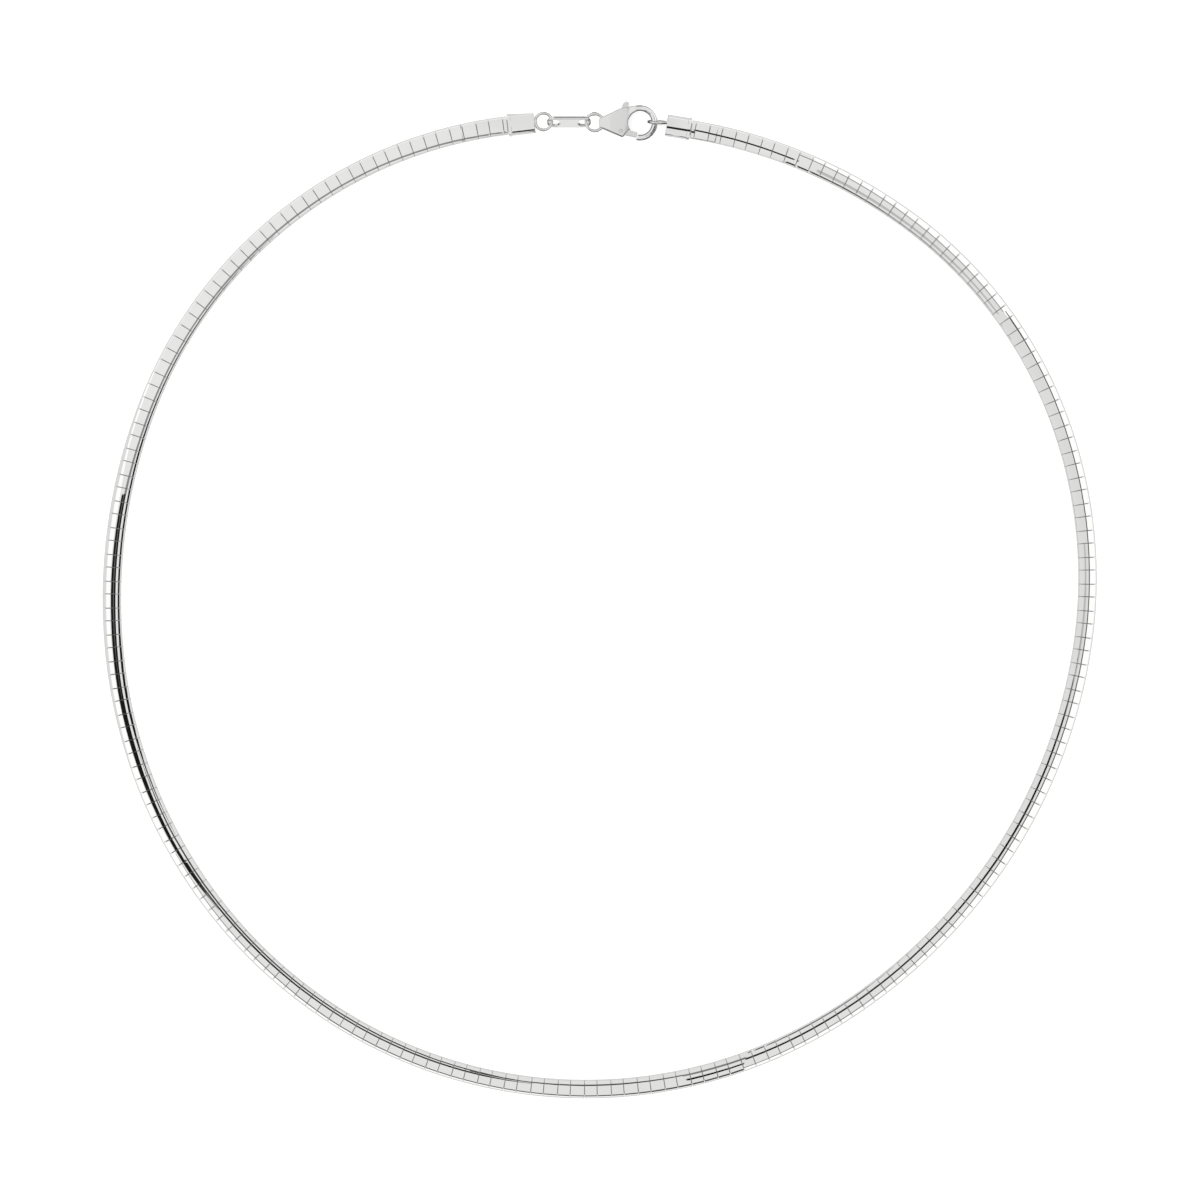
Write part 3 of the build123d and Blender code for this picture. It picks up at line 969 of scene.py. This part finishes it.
def smooth_mesh(name, bm, materials, crease=radians(34)):
    """The finished mesh of bm: faces outwards, smooth but for its creases."""
    bmesh.ops.recalc_face_normals(bm, faces=bm.faces)
    for face in bm.faces:
        face.smooth = True
    for edge in bm.edges:
        if len(edge.link_faces) == 2:
            edge.smooth = edge.calc_face_angle() < crease
    mesh = bpy.data.meshes.new(name)
    bm.to_mesh(mesh)
    bm.free()
    for material in materials:
        mesh.materials.append(material)
    base = bpy.data.objects.new(name, mesh)
    bpy.context.scene.collection.objects.link(base)
    weighing = base.modifiers.new("even shading", "WEIGHTED_NORMAL")
    weighing.keep_sharp = True
    bpy.context.view_layer.update()
    shaded = bpy.data.meshes.new_from_object(base.evaluated_get(bpy.context.evaluated_depsgraph_get()))
    shaded.name = name
    bpy.data.objects.remove(base)
    return shaded


cap_silver = polished_silver("cap_silver", 0.02, 0.0006 * mm)
# The ring wire is a darker copy of the same silver: painted shade.
wire_silver = polished_silver("wire_silver", 0.05, 0.001 * mm, shade=0.84)

left_end = across_band(*bend_ends[0][:2])
right_end = across_band(*bend_ends[-1][:2])

left_cap = bmesh.new()
cap_shell(left_cap, left_end, -1, left_cap_length, True)
reach = left_cap_length + end_ring_diameter / 2 - solder_overlap
left_ring_centre = left_end @ Vector((0, -reach, 0))
left_ring_place = Matrix.Translation((left_ring_centre.x, left_ring_centre.y, clasp_mid_height))
round_wire(left_cap, left_ring_place, end_ring_diameter, bend_ends[0][1])
left_cap_mesh = smooth_mesh("left_cap_and_ring", left_cap, (cap_silver, wire_silver))
dress("left_cap_and_ring", left_cap_mesh, "necklace", "end_caps", "end_cap_left")

right_cap = bmesh.new()
cap_shell(right_cap, right_end, 1, right_cap_length, False)
ring_height = right_ring_diameter / 2 + 0.01 * mm
right_ring_place = (
    Matrix.Translation((*right_ring_centre, ring_height))
    @ Matrix.Rotation(right_ring_turn, 4, "Z")
    @ Matrix.Rotation(-pi / 2 + right_ring_lean, 4, "X")
)
round_wire(right_cap, right_ring_place, right_ring_diameter, right_ring_solder)
right_cap_mesh = smooth_mesh("right_cap_and_ring", right_cap, (cap_silver, wire_silver))
dress("right_cap_and_ring", right_cap_mesh, "necklace", "end_caps", "end_cap_right")


cap_card_height = 12 * mm
cap_card_overhang = 2.5 * mm
right_line_start = -0.6 * mm


def cap_card(name, radiance, end, toward, start, stop, outer, inner):
    """A low flag that draws a line along a cap, between these distances in mm from its outer edge."""
    corners = []
    for along in (start, stop):
        for inward in (outer, inner):
            spot = end @ Vector((0, toward * along, 0))
            outward = (end.to_3x3() @ Vector((1, 0, 0))).to_2d().normalized()
            reach = shown_at(inward * mm, cap_width, cap_crown, cap_rounding, cap_card_height)
            corners.append((spot.x + outward.x * reach, spot.y + outward.y * reach, cap_card_height))
    card(name, radiance, [(0, 1, 3, 2)], corners)


cap_card("left_cap_line", 0.01, left_end, -1, grip_length, left_cap_length + cap_card_overhang, 2.63, 2.91)
cap_card("left_cap_light", 1.05, left_end, -1, grip_length, left_cap_length + cap_card_overhang, 2.91, 3.03)
cap_card(
    "right_cap_line", 0.01, right_end, 1, right_line_start, right_cap_length + cap_card_overhang, 1.73, 2.04
)


# Oval link: a stamped and tumbled oval plate with a hole at each end, hanging between the left
# cap's ring and the clasp's ring. It stands on its long edge and leans back.
link_centre = (-4.75 * mm, 71.37 * mm)
link_length = 6.5 * mm
link_height = 2.2 * mm
link_thickness = 0.5 * mm
link_lean = radians(55.0)
link_rounding = 0.12 * mm
link_hole_length = 1.6 * mm
link_hole_height = 1.4 * mm
link_hole_offset = 2.18 * mm
merging = 0.0005 * mm


def slot_outline(length, height, middle, steps=16):
    """Points round a slot with round ends."""
    radius = height / 2
    points = []
    for end in (1, -1):
        for step in range(steps + 1):
            angle = -pi / 2 + pi * step / steps + (0 if end == 1 else pi)
            points.append((middle + end * (length / 2 - radius) + radius * cos(angle), radius * sin(angle)))
    return points


def stamped_plate(name, outlines, thickness, rounding, place, material):
    """A flat plate cut to these closed outlines, the holes among them, with all its edges rounded."""
    curve = bpy.data.curves.new(name, "CURVE")
    curve.dimensions = "2D"
    curve.fill_mode = "BOTH"
    curve.extrude = thickness / 2 - rounding
    curve.bevel_depth = rounding
    curve.bevel_resolution = 4
    curve.offset = -rounding
    for outline in outlines:
        spline = curve.splines.new("POLY")
        spline.points.add(len(outline) - 1)
        for knot, (x, y) in zip(spline.points, outline):
            knot.co = (x, y, 0, 1)
        spline.use_cyclic_u = True
        spline.use_smooth = True
    flat = bpy.data.objects.new(name, curve)
    bpy.context.scene.collection.objects.link(flat)
    bpy.context.view_layer.update()
    mesh = bpy.data.meshes.new_from_object(flat.evaluated_get(bpy.context.evaluated_depsgraph_get()))
    bpy.data.objects.remove(flat)
    bm = bmesh.new()
    bm.from_mesh(mesh)
    bmesh.ops.remove_doubles(bm, verts=bm.verts, dist=merging)
    bmesh.ops.transform(bm, matrix=place, verts=bm.verts)
    return smooth_mesh(name, bm, (material,))


link_silver = polished_silver("link_silver", 0.07, 0.001 * mm)
link_place = Matrix.Translation((*link_centre, clasp_mid_height)) @ Matrix.Rotation(link_lean, 4, "X")
link_outlines = [slot_outline(link_length, link_height, 0)]
for way in (-1, 1):
    link_outlines.append(slot_outline(link_hole_length, link_hole_height, way * link_hole_offset))
dress(
    "oval_link",
    stamped_plate("oval_link", link_outlines, link_thickness, link_rounding, link_place, link_silver),
    "necklace",
    "link_and_ring",
    "tag_link",
)


# Clasp ring: round wire, bent to a ring through the link and the clasp's tail and closed by solder.
clasp_ring_centre = (-0.92 * mm, 71.32 * mm)
clasp_ring_diameter = 2.98 * mm
clasp_ring_solder = radians(95)

clasp_ring = bmesh.new()
ring_place = Matrix.Translation((*clasp_ring_centre, clasp_mid_height))
round_wire(clasp_ring, ring_place, clasp_ring_diameter, clasp_ring_solder)
clasp_ring_mesh = smooth_mesh("clasp_ring_wire", clasp_ring, (link_silver, wire_silver))
dress("clasp_ring_wire", clasp_ring_mesh, "necklace", "link_and_ring", "clasp_ring")


# Clasp body: a cast lobster clasp, two cheeks in one with the tail and the hook. The cheeks have a fine satin
# finish, rougher and painted darker with painted shade, and the hook is polished.
satin_edge = 4.14 * mm
satin_fade = 0.3 * mm
satin_painted_shade = 0.1
satin_roughness = 0.24
satin_lines = (1.0, 6.0, 1.0)
clasp_crease = radians(30)
cast_merging = 0.0002 * mm
flat_within = radians(0.5)
satin_silver = polished_silver("satin_silver", 0.02, 0.002 * mm, satin_lines, satin_up_to=satin_edge)


def cast_piece(name, node, material):
    """A smooth-shaded copy of a solid node, its triangles merged first."""
    bm = bmesh.new()
    bm.from_mesh(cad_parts[node].data)
    bmesh.ops.remove_doubles(bm, verts=bm.verts, dist=cast_merging)
    bmesh.ops.dissolve_limit(bm, angle_limit=flat_within, verts=bm.verts, edges=bm.edges)
    return smooth_mesh(name, bm, (material,), clasp_crease)


dress(
    "lobster_clasp_body",
    cast_piece("lobster_clasp_body", "clasp_body", satin_silver),
    "necklace",
    "clasp_metal",
    "clasp_body",
)


# Lever: one flat piece in the slot between the cheeks, with the gate that closes the hook and the
# nub that the thumb pulls. It turns on the rivet against a small hidden spring.
# The lever is a darker copy of the same silver: painted shade, besides its rougher finish.
lever_silver = polished_silver("lever_silver", 0.14, 0.002 * mm, shade=0.82)
dress(
    "clasp_gate_lever",
    cast_piece("clasp_gate_lever", "clasp_lever", lever_silver),
    "clasp_lever",
    "clasp_metal",
    "clasp_lever",
)


# Rivet: a short pin through both cheeks, its ends tapped to low domes and filed almost flush.
pivot = (3.00 * mm, 70.00 * mm)
rivet_radius = 0.21 * mm
rivet_length = 2.06 * mm
rivet_dome = 0.03 * mm
rivet_dome_steps = 4
rivet_sides = 24

rivet = bmesh.new()
rivet_profile = []
for step in range(rivet_dome_steps + 1):
    angle = pi / 2 * step / rivet_dome_steps
    rivet_profile.append((rivet_radius * sin(angle), rivet_length / 2 - rivet_dome * (1 - cos(angle))))
rivet_profile += [(radius, -height) for radius, height in reversed(rivet_profile)]
rivet_rings = []
for radius, height in rivet_profile[1:-1]:
    rivet_rings.append([
        rivet.verts.new((
            pivot[0] + radius * cos(2 * pi * step / rivet_sides),
            pivot[1] + radius * sin(2 * pi * step / rivet_sides),
            clasp_mid_height + height,
        ))
        for step in range(rivet_sides)
    ])
for ring, following in zip(rivet_rings, rivet_rings[1:]):
    for side in range(rivet_sides):
        rivet.faces.new((ring[side - 1], ring[side], following[side], following[side - 1]))
rivet.faces.new(rivet_rings[0])
rivet.faces.new(rivet_rings[-1])
rivet_mesh = smooth_mesh("clasp_pivot_rivet", rivet, (satin_silver,))
dress("clasp_pivot_rivet", rivet_mesh, "necklace", "clasp_metal", "clasp_rivet")
